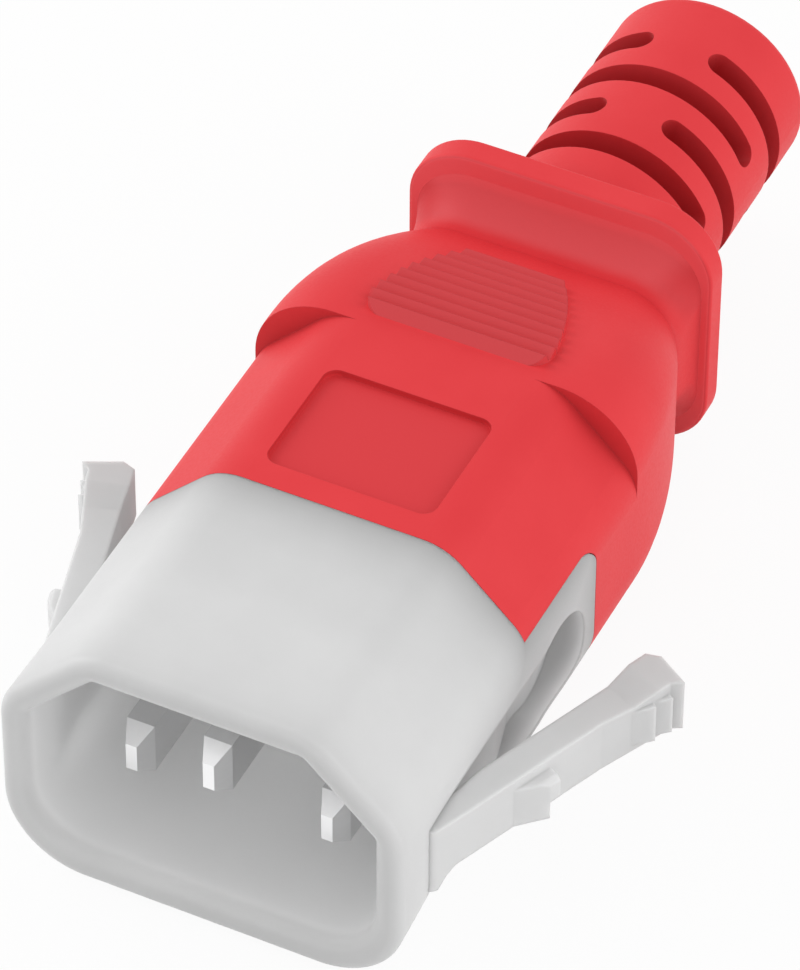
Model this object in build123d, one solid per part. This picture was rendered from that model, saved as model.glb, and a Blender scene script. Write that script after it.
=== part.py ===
"""Locking power cord plug: a shrouded three-blade plug with two sprung side latches.

Millimetres. The origin is the centre of the mouth plane, +Y runs back to the cord and +Z is up.
"""
import os
from math import asin, cos, degrees, radians, sin, sqrt

from build123d import *

# Blades
blade_width = 2.0
blade_height = 4.0
blade_pitch = 14.0
live_drop = 2.4
earth_rise = 1.6
live_tip = 4.35
earth_tip = 1.7
tip_length = 1.4
tip_width = 0.8
tip_height = 2.2
blade_rear = 27.3
crimp_length = 6.0
crimp_overlap = 1.0
crimp_radius = 1.9
strand_radius = 0.95
core_radius = 1.7
bend_share = 0.2

# White insert with its shroud
half_width = 14.05
half_height = 9.975
corner_cut = 5.95
cut_blend = 4.0
corner_radius = 5.85
flare_run = 7.0
flare_side = 0.24
flare_drop = 0.5
side_wall = 1.7
top_wall = 1.95
cavity_cut = 5.0
cavity_blend = 0.7
cavity_corner = 4.4
cavity_depth = 17.1
rim_outer_round = 0.8
rim_inner_round = 0.8
insert_front_length = 19.2
tongue_end = 1.45
tongue_top = 3.85
tongue_drop = 7.6
tongue_depth = 3.85
tongue_corner = 2.0
carrier_height = 13.0
carrier_rear = 25.3
carrier_root = 1.0

# Red overmould
shoulder = 35.85
taper_radius = 30.0
waist = 50.5
waist_corner = 4.2
flange_front = 53.6
flange_thickness = 2.05
flange_half_width = 11.35
flange_half_height = 10.0
flange_corner = 4.8
flange_round = 0.3
flange_inset = 0.5
flange_bite = 0.15
relief_radius = 7.4
relief_rear = 79.05
relief_round = 0.8
cord_radius = 4.5
bore_front = 50.3
slot_rows = 4
slot_pitch = 3.9
slot_first = 61.9
slot_width = 1.9
slot_span = 146.0
slot_sleeve = 0.6
label_half_width = 6.05
label_front = 21.25
label_rear = 31.0
label_depth = 0.5
label_corner = 1.0

# Finger pads above and below
pad_front = 36.8
pad_rear = 46.9
pad_rise = 0.75
pad_wide = 6.9
pad_narrow = 3.45
pad_bulge = 0.75
pad_corner = 1.6
pad_ribs = 10
rib_depth = 0.65
rib_crest_share = 0.75
pad_bite = 0.05

# Side latches
right_splay = 22.1
left_splay = 15.4
pivot_inset = 0.2
pivot_y = 5.3
bead_radius = 0.75
arm_top = 0.3
arm_height = 4.2
arm_thickness = 2.2
arm_length = 20.7
arm_thins_to = 5.6
root_drop = 1.25
root_run = 1.5
head_run = 4.1
head_full_run = 2.1
head_growth = 0.5
head_back_growth = 0.2
head_lift = 0.5
head_flare_run = 6.6
head_flare = 0.65
head_shoulder_run = 1.2
head_end_run = 0.5
head_end_out = 1.2
head_corner = 0.9
head_corner_run = 0.6
barb_foot = 6.45
barb_crest = 8.7
barb_back = 9.55
barb_height = 1.0
barb_edge = 0.35
barb_below_top = 0.9
barb_step = 1.45
tooth_run = 2.25
tooth_step = 0.3
first_tooth_run = 2.8
first_tooth_out = 1.0
second_tooth_run = 1.45
tooth_out = 1.15
tooth_below_head = 0.85
tooth_height = 3.1

# Latch pockets
pocket_front = 5.45
pocket_drop = 2.9
pocket_half_height = 3.5
pocket_skin = 0.4
pocket_depth = 2.35
pocket_slope_start = 11.0
pocket_slope_end = 7.1
pocket_end_radius = 4.0
pocket_run_out = 2.1
pocket_blend = 3.0

# Fits
mould_gap = 0.05
seam_gap = 0.02
hinge_clearance = 0.08
overshoot = 1.0

cavity_half_width = half_width - side_wall
cavity_half_height = half_height - top_wall
tongue_inner = half_width - tongue_depth
pivot_x = half_width - pivot_inset
pocket_center = -pocket_drop
pocket_floor = cavity_half_width + pocket_skin
pocket_deep_floor = half_width - pocket_depth
pocket_rear = pivot_y + arm_length + pocket_run_out
tongue_rear = pocket_rear + tongue_end

poles = {
    "line": (-blade_pitch / 2, -live_drop, live_tip, 210),
    "neutral": (blade_pitch / 2, -live_drop, live_tip, 330),
    "earth": (0, earth_rise, earth_tip, 90),
}


def at(y):
    """Upright plane across the plug, with sketch x to the right and sketch y up."""
    return Plane(origin=(0, y, 0), x_dir=(1, 0, 0), z_dir=(0, -1, 0))


def run(sketch, front, rear):
    """Solid of one cross-section between two stations along the plug."""
    return extrude(at(rear) * sketch, amount=rear - front)


def span_box(x, y, z):
    """Box from its lower and upper limits on the three axes."""
    size = [high - low for low, high in (x, y, z)]
    return Pos(*[(low + high) / 2 for low, high in (x, y, z)]) * Box(*size)


def side_copy(shape, side):
    """The right-hand shape itself, or its mirror image for the left."""
    return shape if side > 0 else mirror(shape, about=Plane.YZ)


def cut_corner_outline(wide, high, drop, cut, blend, corner):
    """Rounded cross-section with its two upper corners cut at 45 degrees."""
    outline = Pos(0, (high - drop) / 2) * Rectangle(2 * wide, high + drop)
    outline = fillet(outline.vertices().group_by(Axis.Y)[0], corner)
    outline = chamfer(outline.vertices().group_by(Axis.Y)[-1], cut)
    upper = outline.vertices().filter_by(lambda v: v.Y > high - cut - 0.01)
    return fillet(upper, blend)


def plug_outline():
    return cut_corner_outline(half_width, half_height, half_height, corner_cut, cut_blend, corner_radius)


def mouth_outline():
    """Outline at the mouth, a little wider and deeper than the body behind it."""
    wide = half_width + flare_side
    return cut_corner_outline(
        wide, half_height, half_height + flare_drop, corner_cut + flare_side, cut_blend, corner_radius
    )


def cavity_outline():
    wide = cavity_half_width
    high = cavity_half_height
    return cut_corner_outline(wide, high, high, cavity_cut, cavity_blend, cavity_corner)


def pocket(side):
    """Space that one latch sinks into when it is pressed, with the groove for its root."""
    reach = 1.5 * half_width
    center = pocket_rear - pocket_end_radius
    low = pocket_center - pocket_half_height
    high = pocket_center + pocket_half_height
    slot = Polygon((pocket_front, low), (center, low), (center, high), (pocket_front, high), align=None)
    outline = slot + Pos(center, pocket_center) * Circle(pocket_end_radius)
    step = sqrt(pocket_end_radius**2 - pocket_half_height**2)
    notches = outline.vertices().filter_by(lambda v: abs(v.X - center + step) < 0.01)
    outline = fillet(notches, pocket_blend)
    sideways = extrude(Plane.YZ * outline, amount=reach)
    plan = Polygon(
        (reach, pocket_front),
        (pocket_floor, pocket_front),
        (pocket_floor, pocket_rear - pocket_slope_start),
        (pocket_deep_floor, pocket_rear - pocket_slope_end),
        (pocket_deep_floor, pocket_rear),
        (reach, pocket_rear),
        align=None,
    )
    space = sideways & extrude(plan, amount=2 * half_height, both=True)
    groove = Pos(pivot_x, pivot_y, pocket_center) * Cylinder(bead_radius + hinge_clearance, high - low)
    return side_copy(space + groove, side)


def carrier(gap=0.0):
    """Inner block and side tongues that the overmould grips."""
    front = insert_front_length - carrier_root + gap
    block = span_box(
        (-tongue_inner - gap, tongue_inner + gap),
        (front, carrier_rear + gap),
        (-carrier_height / 2 - gap, carrier_height / 2 + gap),
    )
    window = span_box(
        (-half_width, half_width),
        (front, tongue_rear + gap),
        (-tongue_drop - gap, tongue_top + gap),
    )
    rear_edges = window.edges().filter_by(Axis.X).group_by(Axis.Y)[-1]
    window = fillet(rear_edges, tongue_corner)
    inner = span_box((-tongue_inner + gap, tongue_inner - gap), (0, shoulder), (-half_height, half_height))
    return block + (window - inner)


def blade_slot(pole):
    """Cross-section of the passage round one blade."""
    x, z = poles[pole][:2]
    return Pos(x, z) * Rectangle(blade_width + 2 * mould_gap, blade_height + 2 * mould_gap)


def blade(pole):
    """Flat blade with a tapered tip and a crimp barrel for its conductor."""
    x, z, tip, _ = poles[pole]
    here = Pos(x, z)
    full = here * Rectangle(blade_width, blade_height)
    point = loft([at(tip) * here * Rectangle(tip_width, tip_height), at(tip + tip_length) * full])
    bar = run(full, tip + tip_length, blade_rear)
    barrel = run(here * Circle(crimp_radius), blade_rear - crimp_overlap, blade_rear + crimp_length)
    bore = run(here * Circle(strand_radius + mould_gap), blade_rear, blade_rear + crimp_length)
    return point + bar + barrel - bore


def conductor(pole, radius):
    """Round rod along one conductor's route from its crimp barrel to the cord's end."""
    x, z, _, angle = poles[pole]
    lay = core_radius * 2 / sqrt(3) + mould_gap
    end_x = lay * cos(radians(angle))
    end_z = lay * sin(radians(angle))
    start = blade_rear + crimp_length
    bend = (bore_front - start) * bend_share
    points = [
        (x, blade_rear + mould_gap, z),
        (x, start + bend, z),
        (end_x, bore_front - bend, end_z),
        (end_x, bore_front, end_z),
    ]
    path = FilletPolyline(*points, radius=2 * core_radius)
    return sweep(Plane(origin=path @ 0, z_dir=path % 0) * Circle(radius), path=path)


def sleeve(pole, radius):
    """The part of a conductor's route that lies behind the crimp barrel."""
    bare = (0, blade_rear + crimp_length + mould_gap)
    front_part = span_box((-half_width, half_width), bare, (-half_height, half_height))
    return conductor(pole, radius) - front_part


def insert():
    """White moulding: shroud, blade carrier, side tongues and latch pockets."""
    shroud = loft([at(0) * mouth_outline(), at(flare_run) * plug_outline()], ruled=True)
    shroud += run(plug_outline(), flare_run, insert_front_length)
    shroud -= run(cavity_outline(), -overshoot, cavity_depth)
    mouth = shroud.faces().sort_by(Axis.Y)[0]
    shroud = fillet(mouth.outer_wire().edges(), rim_outer_round)
    mouth = shroud.faces().sort_by(Axis.Y)[0]
    shroud = fillet(mouth.inner_wires()[0].edges(), rim_inner_round)
    body = shroud + (carrier() & run(plug_outline(), cavity_depth, shoulder))
    for side in (1, -1):
        body -= pocket(side)
    for pole in poles:
        body -= run(blade_slot(pole), cavity_depth - overshoot, carrier_rear + overshoot)
    return body


def narrowing(y):
    """How far the skin has drawn in at a station behind the shoulder."""
    return taper_radius - sqrt(taper_radius**2 - (y - shoulder) ** 2)


def rear_body():
    """Body behind the shoulder, drawn in to a waist and flared out to the flange."""
    stations = 5
    taper = []
    for step in range(stations):
        share = step / (stations - 1)
        y = shoulder + (waist - shoulder) * share
        wide = half_width - narrowing(y)
        high = half_height - narrowing(y)
        corner = corner_radius + (waist_corner - corner_radius) * share
        taper.append(at(y) * RectangleRounded(2 * wide, 2 * high, corner))
    flare = [taper[-1]]
    for angle in (30, 60, 90):
        y = waist + (flange_front + flange_bite - waist) * sin(radians(angle))
        share = 1 - cos(radians(angle))
        full_wide = wide + (flange_half_width - flange_inset - wide) * share
        full_high = high + (flange_half_height - flange_inset - high) * share
        corner = waist_corner + (flange_corner - flange_inset - waist_corner) * share
        flare.append(at(y) * RectangleRounded(2 * full_wide, 2 * full_high, corner))
    return loft(taper) + loft(flare)


def flange():
    plate = RectangleRounded(2 * flange_half_width, 2 * flange_half_height, flange_corner)
    solid = run(plate, flange_front, flange_front + flange_thickness)
    return fillet(solid.faces().filter_by(Axis.Y).edges(), flange_round)


def relief_slot(row, turn):
    """One round-ended slot of the strain relief, centred on the top before it is turned."""
    inner = cord_radius + slot_sleeve
    outer = relief_radius + overshoot
    end = slot_width / 2
    reach = slot_span / 2 - degrees(asin(end / relief_radius))
    strip = Pos((inner + outer) / 2, 0) * Rectangle(outer - inner, slot_width)
    ring = revolve(Rot(0, -90 - reach, 0) * strip, axis=Axis.Y, revolution_arc=2 * reach)
    stub = Pos(0, 0, (inner + outer) / 2) * Cylinder(end, outer - inner)
    cut = ring + Rot(0, reach, 0) * stub + Rot(0, -reach, 0) * stub
    return Pos(0, slot_first + row * slot_pitch, 0) * Rot(0, turn, 0) * cut


def strain_relief():
    """Slotted sleeve behind the flange, its rows turned a quarter from one to the next."""
    tube = run(Circle(relief_radius), flange_front, relief_rear)
    tube = fillet(tube.edges().group_by(Axis.Y)[-1], relief_round)
    for row in range(slot_rows):
        for turn in (0, 180):
            tube -= relief_slot(row, turn + 90 * (row % 2))
    return tube


def finger_pad():
    """Raised pad of saw-tooth ribs that rise to the back and follow the narrowing body."""
    pitch = (pad_rear - pad_front) / pad_ribs
    points = [(pad_rear, 0), (pad_front, 0)]
    for rib in range(pad_ribs):
        foot = pad_front + rib * pitch
        crest = foot + pitch * rib_crest_share
        low = pad_rise - rib_depth if rib else -pad_bite
        points.append((foot, half_height - narrowing(foot) + low))
        points.append((crest, half_height - narrowing(crest) + pad_rise))
    points.append((pad_rear, half_height - narrowing(pad_rear) + low))
    ribs = extrude(Plane.YZ * Polygon(*points, align=None), amount=half_width, both=True)
    middle = (pad_front + pad_rear) / 2
    bulge = (pad_wide + pad_narrow) / 2 + pad_bulge
    sides = Polyline((pad_narrow, pad_rear), (-pad_narrow, pad_rear))
    sides += ThreePointArc((-pad_narrow, pad_rear), (-bulge, middle), (-pad_wide, pad_front))
    sides += Polyline((-pad_wide, pad_front), (pad_wide, pad_front))
    sides += ThreePointArc((pad_wide, pad_front), (bulge, middle), (pad_narrow, pad_rear))
    plan = make_face(sides)
    plan = fillet(plan.vertices().group_by(Axis.Y)[0], pad_corner)
    return ribs & extrude(plan, amount=2 * half_height)


def overmould():
    """Red moulding: front sleeve, shoulder, narrowing body, flange and strain relief."""
    front = run(plug_outline(), insert_front_length + seam_gap, shoulder)
    label = Rectangle(2 * label_half_width, label_rear - label_front)
    label = fillet(label.vertices(), label_corner)
    front -= Pos(0, (label_front + label_rear) / 2, half_height - label_depth) * extrude(label, amount=overshoot)
    body = front + rear_body() + flange() + strain_relief()
    body += finger_pad()
    body += mirror(finger_pad(), about=Plane.XY)
    body -= carrier(mould_gap)
    body -= run(Circle(cord_radius), bore_front, relief_rear + overshoot)
    barrel_start = blade_rear - crimp_overlap - mould_gap
    barrel_end = blade_rear + crimp_length + mould_gap
    for pole in poles:
        x, z = poles[pole][:2]
        body -= run(blade_slot(pole), carrier_rear - overshoot, blade_rear)
        body -= run(Pos(x, z) * Circle(crimp_radius + mould_gap), barrel_start, barrel_end)
        body -= sleeve(pole, core_radius + mould_gap)
    return body


def latch(splay, side):
    """Sprung arm with its root bead, locking barb and toothed finger end."""
    face = bead_radius
    back = bead_radius - arm_thickness
    head_start = arm_length - head_run
    head_full = arm_length - head_full_run
    flare_start = arm_length - head_flare_run
    plan = Polygon(
        (face, 0),
        (face, flare_start),
        (face + head_flare, head_full),
        (face + head_flare, arm_length - head_shoulder_run),
        (face + head_end_out, arm_length - head_end_run),
        (back - head_back_growth + head_corner, arm_length),
        (back - head_back_growth, arm_length - head_corner_run),
        (back - head_back_growth, head_full),
        (back, head_start),
        (back, arm_thins_to),
        (-bead_radius, 0),
        align=None,
    )
    plan += Circle(bead_radius)
    arm_bottom = arm_top - arm_height
    head_top = arm_top + head_growth
    front = -2 * bead_radius
    height = Polygon(
        (front, arm_top),
        (head_start, arm_top),
        (head_full, head_top),
        (arm_length + overshoot, head_top),
        (arm_length + overshoot, arm_bottom + head_lift),
        (head_full, arm_bottom + head_lift),
        (flare_start, arm_bottom),
        (root_run, arm_bottom),
        (root_run / 2, arm_bottom - root_drop / 3),
        (0, arm_bottom - root_drop),
        (front, arm_bottom - root_drop),
        align=None,
    )
    arm = extrude(plan, amount=half_height, both=True) & extrude(Plane.YZ * height, amount=arm_length, both=True)
    barb_top = arm_top - barb_below_top
    barb_plan = Polygon(
        (0, barb_foot),
        (face, barb_foot),
        (face + barb_height, barb_crest),
        (face + barb_height, barb_back),
        (0, barb_back),
        align=None,
    )
    barb_side = Polygon(
        (barb_foot, barb_top),
        (barb_back + barb_edge, barb_top),
        (barb_back + barb_edge, arm_bottom + barb_step),
        (barb_crest, arm_bottom + barb_step),
        (barb_crest, arm_bottom),
        (barb_foot, arm_bottom),
        align=None,
    )
    barb_side = extrude(Plane.YZ * barb_side, amount=half_width, both=True)
    barb = extrude(barb_plan, amount=half_height, both=True) & barb_side
    crest_top = barb.faces().sort_by(Axis.X)[-1].edges().sort_by(Axis.Z)[-1]
    arm += chamfer(crest_top, barb_edge)
    tooth_top = head_top - tooth_below_head
    teeth = (
        (arm_length - first_tooth_run, first_tooth_out),
        (arm_length - second_tooth_run, tooth_out),
    )
    for station, height_out in teeth:
        rear = station + tooth_step
        tooth = Polygon(
            (0, station - tooth_run),
            (face, station - tooth_run),
            (face + height_out, station),
            (face, rear),
            (0, rear),
            align=None,
        )
        arm += Pos(0, 0, tooth_top - tooth_height) * extrude(tooth, amount=tooth_height)
    arm = Pos(pivot_x, pivot_y, 0) * Rot(0, 0, -splay) * arm
    return side_copy(arm, side)


parts = {
    "plug_insert": insert(),
    "overmould": overmould(),
    "right_latch": latch(right_splay, 1),
    "left_latch": latch(left_splay, -1),
}
for pole in poles:
    parts[pole + "_blade"] = blade(pole)
    parts[pole + "_strands"] = conductor(pole, strand_radius)
    parts[pole + "_insulation"] = sleeve(pole, core_radius) - conductor(pole, strand_radius)

os.makedirs("parts", exist_ok=True)
for node, shape in parts.items():
    export_step(shape, f"parts/{node}.step")
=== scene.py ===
import math

import bpy
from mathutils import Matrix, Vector


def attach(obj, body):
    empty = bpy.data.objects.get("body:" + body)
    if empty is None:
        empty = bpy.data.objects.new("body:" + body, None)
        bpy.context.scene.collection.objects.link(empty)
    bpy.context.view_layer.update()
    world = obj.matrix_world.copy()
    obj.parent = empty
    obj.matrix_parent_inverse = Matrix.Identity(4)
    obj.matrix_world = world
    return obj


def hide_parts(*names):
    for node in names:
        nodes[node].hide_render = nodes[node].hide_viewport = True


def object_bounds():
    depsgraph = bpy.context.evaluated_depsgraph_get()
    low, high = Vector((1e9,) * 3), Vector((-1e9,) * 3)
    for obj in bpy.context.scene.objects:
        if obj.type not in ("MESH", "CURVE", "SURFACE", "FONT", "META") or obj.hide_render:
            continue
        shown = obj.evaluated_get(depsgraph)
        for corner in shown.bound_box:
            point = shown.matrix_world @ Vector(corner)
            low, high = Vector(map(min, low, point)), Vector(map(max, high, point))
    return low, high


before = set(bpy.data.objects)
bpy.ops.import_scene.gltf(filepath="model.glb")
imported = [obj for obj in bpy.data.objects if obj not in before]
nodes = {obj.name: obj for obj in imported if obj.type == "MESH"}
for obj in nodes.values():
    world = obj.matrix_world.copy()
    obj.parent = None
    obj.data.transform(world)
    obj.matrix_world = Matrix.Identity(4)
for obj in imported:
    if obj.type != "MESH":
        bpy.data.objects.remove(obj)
cad_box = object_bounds()
MM = 0.001

# All places below are in millimetres from the centre of the mouth: across, along to the cord, and up.
# The insert's outer skin, and the edge of the overmould on it with the side tongues
BODY_WIDE = 14.05
BODY_HIGH = 9.975
BODY_CORNER = 5.85
BODY_CUT = 5.95
SEAM = 19.2
TONGUE_REAR = 29.55
TONGUE_TOP = 3.85
TONGUE_BOTTOM = -7.6

# Where the insert's painted light in the mouth and painted light and shade in the latch pockets are whole,
# and where they have faded out
MOUTH_INSIDE_SKIN = (-0.8, -0.45)
MOUTH_BEHIND_RIM = (1.5, 0.1)
POCKET_INSIDE_SKIN = (-0.2, -0.08)
POCKET_BESIDE_MOUTH = (12.6, 12.4)
POCKET_BEHIND_MOUTH = (17.45, 17.15)
POCKET_BELOW_TOP = (0.8, 1.2)
POCKET_BEHIND_ROOT = (6.0, 5.5)
POCKET_NEAR_SKIN = (-0.1, -1.5)

# The overmould's label recess, finger pad, waist and flange
LABEL_WIDE = 6.05
LABEL_FRONT = 21.25
LABEL_REAR = 31.0
LABEL_FLOOR = 9.475
LABEL_EDGE = 0.02
PAD_WIDE = 7.0
PAD_FRONT = 36.8
PAD_REAR = 46.9
PAD_MARGIN = 0.4
WAIST = 50.5
FLANGE_FRONT = 53.6

# Painted light and shade on the insert and the latch arms; a shade list holds (millimetres, share of the
# tone) stops
# Painted light: the white inside the mouth is lighter than the outside of the insert
MOUTH_PAINTED_LIGHT = (0.975, 0.975, 0.975)
# Painted shade deep in the latch pockets, and painted light near the skin
POCKET_PAINTED_SHADE = (0.58, 0.58, 0.58)
POCKET_PAINTED_LIGHT = (0.78, 0.78, 0.78)
# Painted shade: the insert is greyer at the rim and just behind it
RIM_PAINTED_SHADE = ((0, 0.88), (0.5, 0.9), (0.9, 0.93), (1.6, 0.965), (3, 0.99), (4.5, 1.0))
# Painted shade: the insert greys towards the edge of the red overmould
SEAM_PAINTED_SHADE = (
    (0, 0.58), (0.5, 0.67), (1.2, 0.75), (2.2, 0.83), (3.2, 0.885), (5.2, 0.94), (7.2, 0.965), (11, 1.0)
)
TONGUE_SHARE = 0.5
# Painted shade: the arms grey towards their finger ends
ARM_PAINTED_SHADE = ((0, 1.0), (15, 1.0), (20, 0.93), (26, 0.87))

# Painted light, sheen and shade on the overmould, and on the blades
# Painted shade: the label floor is a darker red
LABEL_FLOOR_PAINTED_SHADE = (0.73, 0.049, 0.057)
# Painted sheen and shade on the pad's ribs that face out of the mouth
PAD_RIB_SHEEN_AND_SHADE = (0.68, 0.072, 0.081)
# Painted sheen and shade on the flange's front faces: darker towards the sides, paler where they face
# straight out
FLANGE_FRONT_SHEEN_AND_SHADE = (0.74, 0.085, 0.096)
FLANGE_SIDE_PAINTED_SHADE = (0.66, 0.05, 0.058)
FLANGE_RIM_PAINTED_SHEEN = (0.85, 0.1, 0.113)
# Painted shade in the concave waist
WAIST_PAINTED_SHADE = (0.97, 0.82, 0.85)
# Painted shade in creases and slots, read from ambient occlusion
CREASE_SHADE_REACH = 4.0
CREASE_PAINTED_SHADE = 0.68
# Painted shade on the blades' sides, and a painted glint on their tips
BLADE_SIDE_PAINTED_SHADE = (0.76, 0.76, 0.76)
BLADE_TIP_PAINTED_GLINT = (1.0, 1.0, 1.0)


def new_material(name):
    """An empty node material with a Principled shader on its output."""
    material = bpy.data.materials.new(name)
    material.use_nodes = True
    tree = material.node_tree
    tree.nodes.clear()
    output = tree.nodes.new("ShaderNodeOutputMaterial")
    shader = tree.nodes.new("ShaderNodeBsdfPrincipled")
    tree.links.new(shader.outputs["BSDF"], output.inputs["Surface"])
    return material, tree, shader


def shader_of(material):
    return next(n for n in material.node_tree.nodes if n.type == "BSDF_PRINCIPLED")


def object_noise(tree, size_mm, detail, stretch=(1, 1, 1)):
    """Noise on the piece's own coordinates; the size is the width of one grain."""
    place = tree.nodes.new("ShaderNodeTexCoord")
    mapping = tree.nodes.new("ShaderNodeMapping")
    mapping.inputs["Scale"].default_value = [s / (size_mm * MM) for s in stretch]
    noise = tree.nodes.new("ShaderNodeTexNoise")
    noise.inputs["Scale"].default_value = 1.0
    noise.inputs["Detail"].default_value = detail
    tree.links.new(place.outputs["Object"], mapping.inputs["Vector"])
    tree.links.new(mapping.outputs["Vector"], noise.inputs["Vector"])
    return noise.outputs["Fac"]


def spread(tree, value, low, high):
    """Maps a noise value from its usual band to low .. high."""
    band = tree.nodes.new("ShaderNodeMapRange")
    band.inputs["From Min"].default_value = 0.3
    band.inputs["From Max"].default_value = 0.7
    band.inputs["To Min"].default_value = low
    band.inputs["To Max"].default_value = high
    tree.links.new(value, band.inputs["Value"])
    return band.outputs["Result"]


def two_tone(tree, value, dark, light):
    """Colour between two tones: the first at 0, the second at 1."""
    mix = tree.nodes.new("ShaderNodeMix")
    mix.data_type = "RGBA"
    mix.inputs["A"].default_value = (*dark, 1)
    mix.inputs["B"].default_value = (*light, 1)
    tree.links.new(value, mix.inputs["Factor"])
    return mix.outputs["Result"]


def even_tone(tree, colour):
    """One even colour, to be laid over another."""
    tone = tree.nodes.new("ShaderNodeRGB").outputs["Color"]
    tone.default_value = (*colour, 1)
    return tone


def times(tree, first, second):
    """Product of two colours."""
    mix = tree.nodes.new("ShaderNodeMix")
    mix.data_type = "RGBA"
    mix.blend_type = "MULTIPLY"
    mix.inputs["Factor"].default_value = 1.0
    tree.links.new(first, mix.inputs["A"])
    tree.links.new(second, mix.inputs["B"])
    return mix.outputs["Result"]


def laid_over(tree, share, upper, under):
    """One colour over another, by a share from 0 to 1."""
    mix = tree.nodes.new("ShaderNodeMix")
    mix.data_type = "RGBA"
    tree.links.new(share, mix.inputs["Factor"])
    tree.links.new(under, mix.inputs["A"])
    tree.links.new(upper, mix.inputs["B"])
    return mix.outputs["Result"]


def reckon(tree, operation, first, second=0.0):
    """One arithmetic step; each side is a plain number or the output of an earlier step."""
    step = tree.nodes.new("ShaderNodeMath")
    step.operation = operation
    for slot, value in enumerate((first, second)):
        if isinstance(value, bpy.types.NodeSocket):
            tree.links.new(value, step.inputs[slot])
        else:
            step.inputs[slot].default_value = value
    return step.outputs["Value"]


def fade(tree, value, whole, none):
    """1 where the value is at whole, falling softly to 0 where it reaches none."""
    band = tree.nodes.new("ShaderNodeMapRange")
    band.interpolation_type = "SMOOTHSTEP"
    band.inputs["From Min"].default_value = none
    band.inputs["From Max"].default_value = whole
    tree.links.new(value, band.inputs["Value"])
    return band.outputs["Result"]


def where_all(tree, first, *others):
    """Share of the surface where every one of these fades holds."""
    for other in others:
        first = reckon(tree, "MULTIPLY", first, other)
    return first


def stretch_along(tree, along, front, rear, front_margin, rear_margin):
    """1 from front to rear along the plug, falling softly to 0 over the margins outside them."""
    return where_all(
        tree, fade(tree, along, front, front - front_margin), fade(tree, along, rear, rear + rear_margin)
    )


def graded(tree, value, stops):
    """Grey share read off a list of (millimetres, share) stops."""
    length = stops[-1][0]
    ramp = tree.nodes.new("ShaderNodeValToRGB")
    marks = ramp.color_ramp.elements
    for station, share in stops[2:]:
        marks.new(station / length)
    for mark, (station, share) in zip(marks, stops):
        mark.position = station / length
        mark.color = (share, share, share, 1)
    tree.links.new(reckon(tree, "DIVIDE", value, length), ramp.inputs["Fac"])
    return ramp.outputs["Color"]


def place_in_plug(tree):
    """Across, along and up in millimetres, measured from the centre of the mouth."""
    place = tree.nodes.new("ShaderNodeTexCoord")
    split = tree.nodes.new("ShaderNodeSeparateXYZ")
    tree.links.new(place.outputs["Object"], split.inputs["Vector"])
    return [reckon(tree, "DIVIDE", split.outputs[axis], MM) for axis in ("X", "Y", "Z")]


def facing_front(tree):
    """1 on faces that look straight out of the mouth, 0 on the sides, less on faces to the rear."""
    place = tree.nodes.new("ShaderNodeTexCoord")
    split = tree.nodes.new("ShaderNodeSeparateXYZ")
    tree.links.new(place.outputs["Normal"], split.inputs["Vector"])
    return reckon(tree, "MULTIPLY", split.outputs["Y"], -1.0)


def below_skin(tree, across, up):
    """Depth below the plug's outer skin in millimetres, negative on the inside."""
    past_side = reckon(tree, "MAXIMUM", reckon(tree, "SUBTRACT", across, BODY_WIDE - BODY_CORNER), 0.0)
    tall = reckon(tree, "ABSOLUTE", up)
    past_top = reckon(tree, "MAXIMUM", reckon(tree, "SUBTRACT", tall, BODY_HIGH - BODY_CORNER), 0.0)
    reach = reckon(tree, "ADD", reckon(tree, "POWER", past_side, 2.0), reckon(tree, "POWER", past_top, 2.0))
    rounded = reckon(tree, "SUBTRACT", reckon(tree, "SQRT", reach), BODY_CORNER)
    slanted = reckon(tree, "SUBTRACT", reckon(tree, "ADD", across, up), BODY_WIDE + BODY_HIGH - BODY_CUT)
    return reckon(tree, "MAXIMUM", rounded, reckon(tree, "MULTIPLY", slanted, math.sqrt(0.5)))


def to_red_edge(tree, along, up):
    """Distance from the overmould's edge, across the front of the insert and its side tongues."""
    front = reckon(tree, "SUBTRACT", SEAM, along)
    tongue = reckon(tree, "SUBTRACT", TONGUE_REAR, along)
    tongue = reckon(tree, "MINIMUM", tongue, reckon(tree, "SUBTRACT", TONGUE_TOP, up))
    tongue = reckon(tree, "MINIMUM", tongue, reckon(tree, "SUBTRACT", up, TONGUE_BOTTOM))
    return reckon(tree, "MAXIMUM", front, reckon(tree, "MULTIPLY", tongue, TONGUE_SHARE))


def moulded_plastic(name, dark, light, rough, grain_mm, grain_depth_mm, edge_mm):
    """Moulded plastic with a fine spark-eroded grain, faint flow clouds and softened edges."""
    material, tree, shader = new_material(name)
    clouds = object_noise(tree, 6.0, 3.0)
    grain = object_noise(tree, grain_mm, 2.0)
    tone = spread(tree, clouds, 0.0, 1.0)
    tree.links.new(two_tone(tree, tone, dark, light), shader.inputs["Base Color"])
    tree.links.new(spread(tree, grain, rough - 0.05, rough + 0.05), shader.inputs["Roughness"])
    edge = tree.nodes.new("ShaderNodeBevel")
    edge.samples = 6
    edge.inputs["Radius"].default_value = edge_mm * MM
    bump = tree.nodes.new("ShaderNodeBump")
    bump.inputs["Strength"].default_value = 0.25
    bump.inputs["Distance"].default_value = grain_depth_mm * MM
    tree.links.new(grain, bump.inputs["Height"])
    tree.links.new(edge.outputs["Normal"], bump.inputs["Normal"])
    tree.links.new(bump.outputs["Normal"], shader.inputs["Normal"])
    return material


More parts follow.
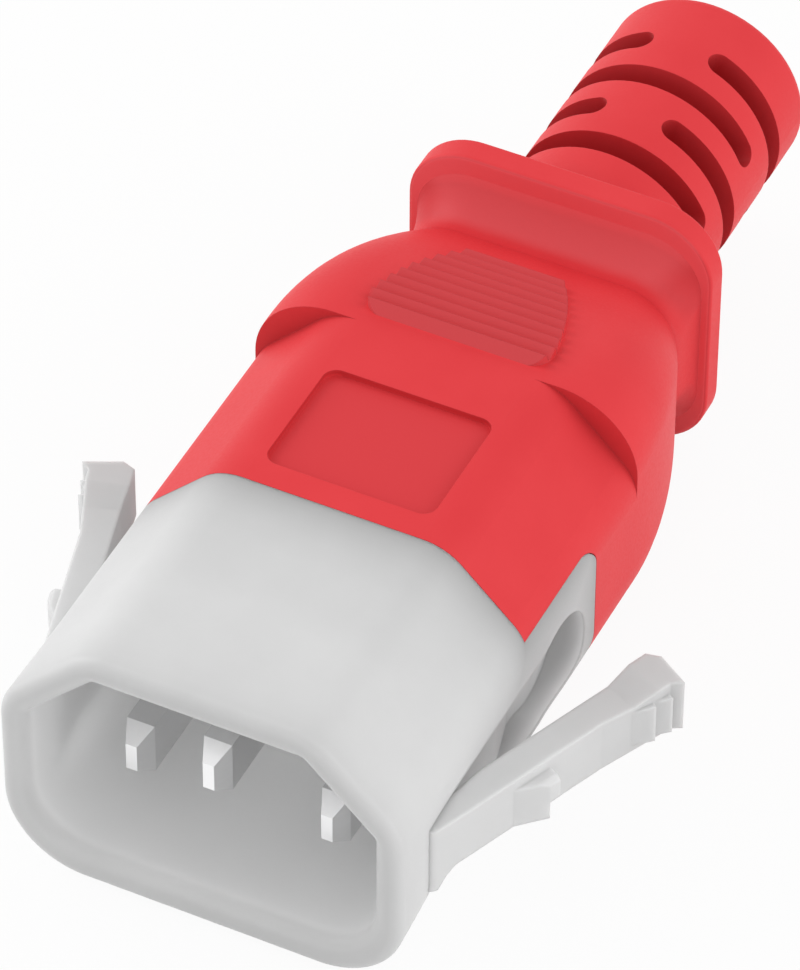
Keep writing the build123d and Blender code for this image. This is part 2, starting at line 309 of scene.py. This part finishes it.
def plated_metal(name, dark, light, rough):
    """Plated metal with fine drawing lines that run along the plug."""
    material, tree, shader = new_material(name)
    lines = object_noise(tree, 0.4, 2.0, stretch=(1, 0.04, 1))
    tree.links.new(two_tone(tree, spread(tree, lines, 0, 1), dark, light), shader.inputs["Base Color"])
    tree.links.new(spread(tree, lines, rough - 0.01, rough + 0.01), shader.inputs["Roughness"])
    shader.inputs["Metallic"].default_value = 1.0
    return material


def let_light_in(material, reach_mm):
    """Milky plastic: light passes into it and through its thin walls."""
    shader = shader_of(material)
    shader.inputs["Subsurface Weight"].default_value = 1.0
    shader.inputs["Subsurface Radius"].default_value = (1.0, 1.0, 1.0)
    shader.inputs["Subsurface Scale"].default_value = reach_mm * MM


def paint_light_and_shade_on_insert(material):
    """White with painted light in the mouth, painted light and shade in the latch pockets, and painted
    shade at the rim and towards the red.
    """
    tree = material.node_tree
    base = shader_of(material).inputs["Base Color"]
    across, along, up = place_in_plug(tree)
    across = reckon(tree, "ABSOLUTE", across)
    depth = below_skin(tree, across, up)
    # Painted shade at the rim and towards the edge of the red
    outer = times(tree, base.links[0].from_socket, graded(tree, along, RIM_PAINTED_SHADE))
    outer = times(tree, outer, graded(tree, to_red_edge(tree, along, up), SEAM_PAINTED_SHADE))
    mouth = where_all(
        tree, fade(tree, depth, *MOUTH_INSIDE_SKIN), fade(tree, along, *MOUTH_BEHIND_RIM)
    )
    past_mouth = reckon(
        tree, "MAXIMUM", fade(tree, across, *POCKET_BESIDE_MOUTH), fade(tree, along, *POCKET_BEHIND_MOUTH)
    )
    pocket = where_all(
        tree,
        fade(tree, depth, *POCKET_INSIDE_SKIN),
        past_mouth,
        fade(tree, up, *POCKET_BELOW_TOP),
        fade(tree, along, *POCKET_BEHIND_ROOT),
    )
    # Painted light and shade in the latch pockets, darker deeper in
    hollow = two_tone(tree, fade(tree, depth, *POCKET_NEAR_SKIN), POCKET_PAINTED_SHADE, POCKET_PAINTED_LIGHT)
    # Painted light laid over the inside of the mouth
    inner = laid_over(tree, mouth, even_tone(tree, MOUTH_PAINTED_LIGHT), outer)
    tree.links.new(laid_over(tree, pocket, hollow, inner), base)


def paint_shade_on_arm(material):
    """Painted shade: the sprung arms are a little greyer at their finger ends."""
    tree = material.node_tree
    base = shader_of(material).inputs["Base Color"]
    along = place_in_plug(tree)[1]
    tree.links.new(times(tree, base.links[0].from_socket, graded(tree, along, ARM_PAINTED_SHADE)), base)


def painted_crease_shade(tree, colour):
    """The colour with painted shade, darker in creases and slots, read from an ambient occlusion node."""
    hollow = tree.nodes.new("ShaderNodeAmbientOcclusion")
    hollow.samples = 8
    hollow.inputs["Distance"].default_value = CREASE_SHADE_REACH * MM
    share = tree.nodes.new("ShaderNodeMapRange")
    share.inputs["From Min"].default_value = 0.45
    share.inputs["From Max"].default_value = 0.95
    share.inputs["To Min"].default_value = CREASE_PAINTED_SHADE
    tree.links.new(hollow.outputs["AO"], share.inputs["Value"])
    return times(tree, colour, share.outputs["Result"])


def paint_light_and_shade_on_grip(material):
    """Painted shade on the label floor, at the waist and in creases; painted sheen and shade on the pad's
    ribs and the flange's front faces.
    """
    tree = material.node_tree
    base = shader_of(material).inputs["Base Color"]
    plain = base.links[0].from_socket
    across, along, up = place_in_plug(tree)
    across = reckon(tree, "ABSOLUTE", across)
    turned = facing_front(tree)
    pad = where_all(
        tree,
        fade(tree, across, PAD_WIDE - 0.6, PAD_WIDE),
        stretch_along(tree, along, PAD_FRONT, PAD_REAR, PAD_MARGIN, PAD_MARGIN),
    )
    rib = where_all(tree, pad, fade(tree, turned, 0.35, 0.1))
    label = where_all(
        tree,
        fade(tree, across, LABEL_WIDE - LABEL_EDGE, LABEL_WIDE + LABEL_EDGE),
        fade(tree, up, LABEL_FLOOR + 0.05, LABEL_FLOOR + 0.3),
        fade(tree, along, LABEL_FRONT + LABEL_EDGE, LABEL_FRONT - LABEL_EDGE),
        fade(tree, along, LABEL_REAR - LABEL_EDGE, LABEL_REAR + LABEL_EDGE),
    )
    waist = stretch_along(tree, along, WAIST - 0.6, WAIST + 0.2, 2.9, 1.0)
    flange = where_all(
        tree,
        fade(tree, turned, 0.45, 0.1),
        stretch_along(tree, along, WAIST + 0.8, FLANGE_FRONT, 0.8, 0.2),
    )
    # Painted sheen and shade on the flange's front, by facing and by how far to the side
    sideways = reckon(tree, "SUBTRACT", across, reckon(tree, "ABSOLUTE", up))
    flange_sheen_and_shade = two_tone(tree, fade(tree, sideways, 4.0, 1.0), FLANGE_FRONT_SHEEN_AND_SHADE, FLANGE_SIDE_PAINTED_SHADE)
    rim = fade(tree, turned, 0.98, 0.85)
    flange_sheen_and_shade = laid_over(tree, rim, even_tone(tree, FLANGE_RIM_PAINTED_SHEEN), flange_sheen_and_shade)
    # Painted shade in creases everywhere but on the pad
    grip = laid_over(tree, pad, plain, painted_crease_shade(tree, plain))
    # Painted sheen and shade on the front-facing faces of the ribs
    grip = laid_over(tree, rib, even_tone(tree, PAD_RIB_SHEEN_AND_SHADE), grip)
    # Painted shade at the waist
    grip = laid_over(tree, waist, times(tree, grip, even_tone(tree, WAIST_PAINTED_SHADE)), grip)
    grip = laid_over(tree, flange, flange_sheen_and_shade, grip)
    # Painted shade on the label floor
    tree.links.new(laid_over(tree, label, even_tone(tree, LABEL_FLOOR_PAINTED_SHADE), grip), base)


def ease_waist(material, soft_mm):
    """Wider soft edge at the waist, where the narrowing body turns out into the flange."""
    tree = material.node_tree
    edge = next(n for n in tree.nodes if n.type == "BEVEL").inputs["Radius"]
    along = place_in_plug(tree)[1]
    band = stretch_along(tree, along, WAIST - 0.5, WAIST + 0.7, soft_mm, soft_mm)
    wider = reckon(tree, "MULTIPLY", band, soft_mm * MM)
    tree.links.new(reckon(tree, "ADD", wider, edge.default_value), edge)


def paint_glint_and_shade_on_blade(material):
    """A painted glint on faces that look out of the mouth; painted shade on the sides and the rest of a
    blade.
    """
    tree = material.node_tree
    base = shader_of(material).inputs["Base Color"]
    # Painted glint where a face looks out of the mouth, painted shade elsewhere
    tip = fade(tree, facing_front(tree), 0.75, 0.1)
    tree.links.new(times(tree, base.links[0].from_socket, two_tone(tree, tip, BLADE_SIDE_PAINTED_SHADE, BLADE_TIP_PAINTED_GLINT)), base)


def sleeve_plastic(name, dark, light):
    """Smooth insulation of one conductor."""
    return moulded_plastic(name, dark, light, rough=0.45, grain_mm=0.2, grain_depth_mm=0.01, edge_mm=0.1)


def dress(material, *names):
    for name in names:
        mesh = nodes[name].data
        mesh.materials.clear()
        mesh.materials.append(material)


insert_white = moulded_plastic(
    "insert_white", (0.705, 0.705, 0.705), (0.735, 0.735, 0.735),
    rough=0.5, grain_mm=0.18, grain_depth_mm=0.02, edge_mm=0.25,
)
paint_light_and_shade_on_insert(insert_white)
let_light_in(insert_white, reach_mm=1.0)
latch_white = moulded_plastic(
    "latch_white", (0.71, 0.71, 0.71), (0.74, 0.74, 0.74),
    rough=0.5, grain_mm=0.18, grain_depth_mm=0.02, edge_mm=0.3,
)
paint_shade_on_arm(latch_white)
let_light_in(latch_white, reach_mm=0.6)
overmould_red = moulded_plastic(
    "overmould_red", (0.78, 0.046, 0.054), (0.81, 0.053, 0.061),
    rough=0.5, grain_mm=0.22, grain_depth_mm=0.02, edge_mm=0.08,
)
shader_of(overmould_red).inputs["Specular IOR Level"].default_value = 0.14
paint_light_and_shade_on_grip(overmould_red)
ease_waist(overmould_red, soft_mm=1.2)
blade_nickel = plated_metal("blade_nickel", (0.95, 0.95, 0.955), (0.965, 0.965, 0.97), rough=0.3)
paint_glint_and_shade_on_blade(blade_nickel)
strand_copper = plated_metal("strand_copper", (0.60, 0.28, 0.16), (0.75, 0.38, 0.24), rough=0.35)
sleeves = {
    "line": sleeve_plastic("line_brown", (0.13, 0.05, 0.02), (0.16, 0.065, 0.025)),
    "neutral": sleeve_plastic("neutral_blue", (0.045, 0.16, 0.45), (0.055, 0.19, 0.5)),
    "earth": sleeve_plastic("earth_green", (0.10, 0.30, 0.04), (0.125, 0.345, 0.05)),
}
dress(insert_white, "plug_insert")
dress(latch_white, "right_latch", "left_latch")
dress(overmould_red, "overmould")
for pole, sleeve in sleeves.items():
    dress(blade_nickel, pole + "_blade")
    dress(strand_copper, pole + "_strands")
    dress(sleeve, pole + "_insulation")

# Each conductor in millimetres: where its crimp lies across and up, and its angle in the cord's end
BLADE_REAR = 27.35
CRIMP_REAR = 33.3
CORD_END = 50.3
CORE_LAY = 2.013
CONDUCTORS = {"line": (-7.0, -2.4, 210), "neutral": (7.0, -2.4, 330), "earth": (0.0, 1.6, 90)}
BEND = 3.4
WIRE_RADIUS = 0.189
LAY_LENGTH = 14.0
WIRE_STEP = 0.5
WIRE_RINGS = (1, 6, 12)


def wire_bundle_tree():
    """Twisted bundle: one middle wire and rings of six and twelve laid round it along a path."""
    tree = bpy.data.node_groups.new("twisted_wires", "GeometryNodeTree")
    tree.interface.new_socket("Path", in_out="INPUT", socket_type="NodeSocketGeometry")
    for name in ("Bend Radius", "Wire Radius", "Lay Length"):
        tree.interface.new_socket(name, in_out="INPUT", socket_type="NodeSocketFloat")
    tree.interface.new_socket("Copper", in_out="INPUT", socket_type="NodeSocketMaterial")
    tree.interface.new_socket("Wires", in_out="OUTPUT", socket_type="NodeSocketGeometry")
    sizes = tree.nodes.new("NodeGroupInput").outputs
    link = tree.links.new

    def vector(operation, first, second):
        step = tree.nodes.new("ShaderNodeVectorMath")
        step.operation = operation
        link(first, step.inputs[0])
        link(second, step.inputs["Scale"] if operation == "SCALE" else step.inputs[1])
        return step.outputs["Vector"]

    bends = tree.nodes.new("GeometryNodeFilletCurve")
    bends.mode = "POLY"
    bends.inputs["Count"].default_value = 8
    link(sizes["Path"], bends.inputs["Curve"])
    link(sizes["Bend Radius"], bends.inputs["Radius"])
    even = tree.nodes.new("GeometryNodeResampleCurve")
    even.mode = "LENGTH"
    even.inputs["Length"].default_value = WIRE_STEP * MM
    link(bends.outputs["Curve"], even.inputs["Curve"])
    section = tree.nodes.new("GeometryNodeCurvePrimitiveCircle")
    section.inputs["Resolution"].default_value = 8
    link(sizes["Wire Radius"], section.inputs["Radius"])
    bundle = tree.nodes.new("GeometryNodeJoinGeometry")
    run = tree.nodes.new("GeometryNodeSplineParameter").outputs["Length"]
    turn = reckon(tree, "MULTIPLY", reckon(tree, "DIVIDE", run, sizes["Lay Length"]), math.tau)
    normal = tree.nodes.new("GeometryNodeInputNormal").outputs["Normal"]
    tangent = tree.nodes.new("GeometryNodeInputTangent").outputs["Tangent"]
    sideways = vector("CROSS_PRODUCT", tangent, normal)
    for ring, count in enumerate(WIRE_RINGS):
        copies = tree.nodes.new("GeometryNodeDuplicateElements")
        copies.domain = "SPLINE"
        copies.inputs["Amount"].default_value = count
        link(even.outputs["Curve"], copies.inputs["Geometry"])
        start = reckon(tree, "MULTIPLY", copies.outputs["Duplicate Index"], math.tau / count)
        angle = reckon(tree, "ADD", start, turn)
        reach = reckon(tree, "MULTIPLY", sizes["Wire Radius"], 2.0 * ring)
        out = vector("SCALE", normal, reckon(tree, "MULTIPLY", reach, reckon(tree, "COSINE", angle)))
        over = vector("SCALE", sideways, reckon(tree, "MULTIPLY", reach, reckon(tree, "SINE", angle)))
        lay = tree.nodes.new("GeometryNodeSetPosition")
        link(copies.outputs["Geometry"], lay.inputs["Geometry"])
        link(vector("ADD", out, over), lay.inputs["Offset"])
        wire = tree.nodes.new("GeometryNodeCurveToMesh")
        wire.inputs["Fill Caps"].default_value = True
        link(lay.outputs["Geometry"], wire.inputs["Curve"])
        link(section.outputs["Curve"], wire.inputs["Profile Curve"])
        link(wire.outputs["Mesh"], bundle.inputs["Geometry"])
    whole = tree.nodes.new("GeometryNodeRealizeInstances")
    link(bundle.outputs["Geometry"], whole.inputs["Geometry"])
    finish = tree.nodes.new("GeometryNodeSetMaterial")
    link(whole.outputs["Geometry"], finish.inputs["Geometry"])
    link(sizes["Copper"], finish.inputs["Material"])
    link(finish.outputs["Geometry"], tree.nodes.new("NodeGroupOutput").inputs["Wires"])
    return tree


def wire_route(pole):
    """One conductor's path from its crimp barrel to the front end of the cord bore."""
    across, up, angle = CONDUCTORS[pole]
    end_across = CORE_LAY * math.cos(math.radians(angle))
    end_up = CORE_LAY * math.sin(math.radians(angle))
    corners = [
        (across, BLADE_REAR, up),
        (across, CRIMP_REAR + BEND, up),
        (end_across, CORD_END - BEND, end_up),
        (end_across, CORD_END, end_up),
    ]
    path = bpy.data.curves.new(pole + "_route", "CURVE")
    path.dimensions = "3D"
    spline = path.splines.new("POLY")
    spline.points.add(len(corners) - 1)
    for point, corner in zip(spline.points, corners):
        point.co = (*[c * MM for c in corner], 1)
    route = bpy.data.objects.new(pole + "_route", path)
    bpy.context.scene.collection.objects.link(route)
    return route


def lay_wires(tree, pole):
    """One conductor's bare wires, made along its route and kept as a plain mesh."""
    route = wire_route(pole)
    twist = route.modifiers.new("twist", "NODES")
    twist.node_group = tree
    wanted = {
        "Bend Radius": BEND * MM,
        "Wire Radius": WIRE_RADIUS * MM,
        "Lay Length": LAY_LENGTH * MM,
        "Copper": strand_copper,
    }
    for item in tree.interface.items_tree:
        if item.name in wanted:
            twist[item.identifier] = wanted[item.name]
    ready = route.evaluated_get(bpy.context.evaluated_depsgraph_get())
    mesh = bpy.data.meshes.new_from_object(ready)
    bpy.data.objects.remove(route)
    mesh.name = pole + "_wires"
    piece = bpy.data.objects.new(pole + "_wires", mesh)
    bpy.context.scene.collection.objects.link(piece)
    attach(piece, "plug")
    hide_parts(pole + "_strands")


wire_tree = wire_bundle_tree()
for pole in CONDUCTORS:
    lay_wires(wire_tree, pole)

# The studio, in metres and watts; the camera stands where the photograph's did
FLOOR_HALF = 2.0
FLOOR_PAPER = (0.9, 0.9, 0.9, 1)
FLOOR_SHADE = 0.07
DOME_STRENGTH = 0.69
LAMP_SIZE = 0.4
LAMPS = {
    "left_lamp": ((-0.5, 0.1, 0.25), 1.26),
    "right_lamp": ((0.5, 0.1, 0.2), 0.87),
    "front_lamp": ((0.1, -0.6, 0.25), 0.4),
}
CAMERA_PLACE = (0.134631, -0.248007, 0.301739)
CAMERA_TURN = (45.9356, -0.1655, 26.1080)
CAMERA_LENS = 242.62
CAMERA_SHIFT = (0.0034, -0.0014)


def seen_rays(tree):
    """1 for rays that show the background: camera, glossy and transmission rays."""
    path = tree.nodes.new("ShaderNodeLightPath")
    total = path.outputs["Is Camera Ray"]
    for kind in ("Is Glossy Ray", "Is Transmission Ray"):
        total = reckon(tree, "MAXIMUM", total, path.outputs[kind])
    return total


def white_floor():
    """Pale floor that reads as white paper and keeps a soft shadow."""
    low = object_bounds()[0].z
    half = FLOOR_HALF
    mesh = bpy.data.meshes.new("floor")
    corners = [(-half, -half, low), (half, -half, low), (half, half, low), (-half, half, low)]
    mesh.from_pydata(corners, [], [(0, 1, 2, 3)])
    floor = bpy.data.objects.new("floor", mesh)
    bpy.context.scene.collection.objects.link(floor)
    material = bpy.data.materials.new("floor_paper")
    material.use_nodes = True
    tree = material.node_tree
    tree.nodes.clear()
    output = tree.nodes.new("ShaderNodeOutputMaterial")
    paper = tree.nodes.new("ShaderNodeBsdfDiffuse")
    paper.inputs["Color"].default_value = FLOOR_PAPER
    glow = tree.nodes.new("ShaderNodeEmission")
    glow.inputs["Strength"].default_value = 1.0
    mix = tree.nodes.new("ShaderNodeMixShader")
    tree.links.new(reckon(tree, "MULTIPLY", seen_rays(tree), 1 - FLOOR_SHADE), mix.inputs["Fac"])
    tree.links.new(paper.outputs["BSDF"], mix.inputs[1])
    tree.links.new(glow.outputs["Emission"], mix.inputs[2])
    tree.links.new(mix.outputs["Shader"], output.inputs["Surface"])
    mesh.materials.append(material)


def studio_world():
    """Even dome of light that shows as white behind the object."""
    world = bpy.data.worlds.new("studio")
    bpy.context.scene.world = world
    world.use_nodes = True
    tree = world.node_tree
    tree.nodes.clear()
    output = tree.nodes.new("ShaderNodeOutputWorld")
    dome = tree.nodes.new("ShaderNodeBackground")
    dome.inputs["Strength"].default_value = DOME_STRENGTH
    white_wall = tree.nodes.new("ShaderNodeBackground")
    white_wall.inputs["Strength"].default_value = 1.0
    for shade in (dome, white_wall):
        shade.inputs["Color"].default_value = (1, 1, 1, 1)
    mix = tree.nodes.new("ShaderNodeMixShader")
    tree.links.new(seen_rays(tree), mix.inputs["Fac"])
    tree.links.new(dome.outputs["Background"], mix.inputs[1])
    tree.links.new(white_wall.outputs["Background"], mix.inputs[2])
    tree.links.new(mix.outputs["Shader"], output.inputs["Surface"])


def soft_lamp(name, place, watts):
    """Square area lamp aimed at the middle of the plug."""
    target = (cad_box[0] + cad_box[1]) / 2
    lamp = bpy.data.lights.new(name, "AREA")
    lamp.size = LAMP_SIZE
    lamp.energy = watts
    thing = bpy.data.objects.new(name, lamp)
    thing.location = place
    thing.rotation_euler = (target - Vector(place)).to_track_quat("-Z", "Y").to_euler()
    bpy.context.scene.collection.objects.link(thing)


def photo_camera():
    """Camera at the photograph's viewing angle."""
    camera = bpy.data.cameras.new("photo_camera")
    camera.sensor_width = 36.0
    camera.lens = CAMERA_LENS
    camera.shift_x, camera.shift_y = CAMERA_SHIFT
    camera.clip_start = 0.01
    camera.clip_end = 10.0
    thing = bpy.data.objects.new("photo_camera", camera)
    thing.location = CAMERA_PLACE
    thing.rotation_euler = [math.radians(a) for a in CAMERA_TURN]
    bpy.context.scene.collection.objects.link(thing)
    bpy.context.scene.camera = thing


white_floor()
studio_world()
for name, (place, watts) in LAMPS.items():
    soft_lamp(name, place, watts)
photo_camera()
bpy.context.scene.view_settings.view_transform = "Standard"
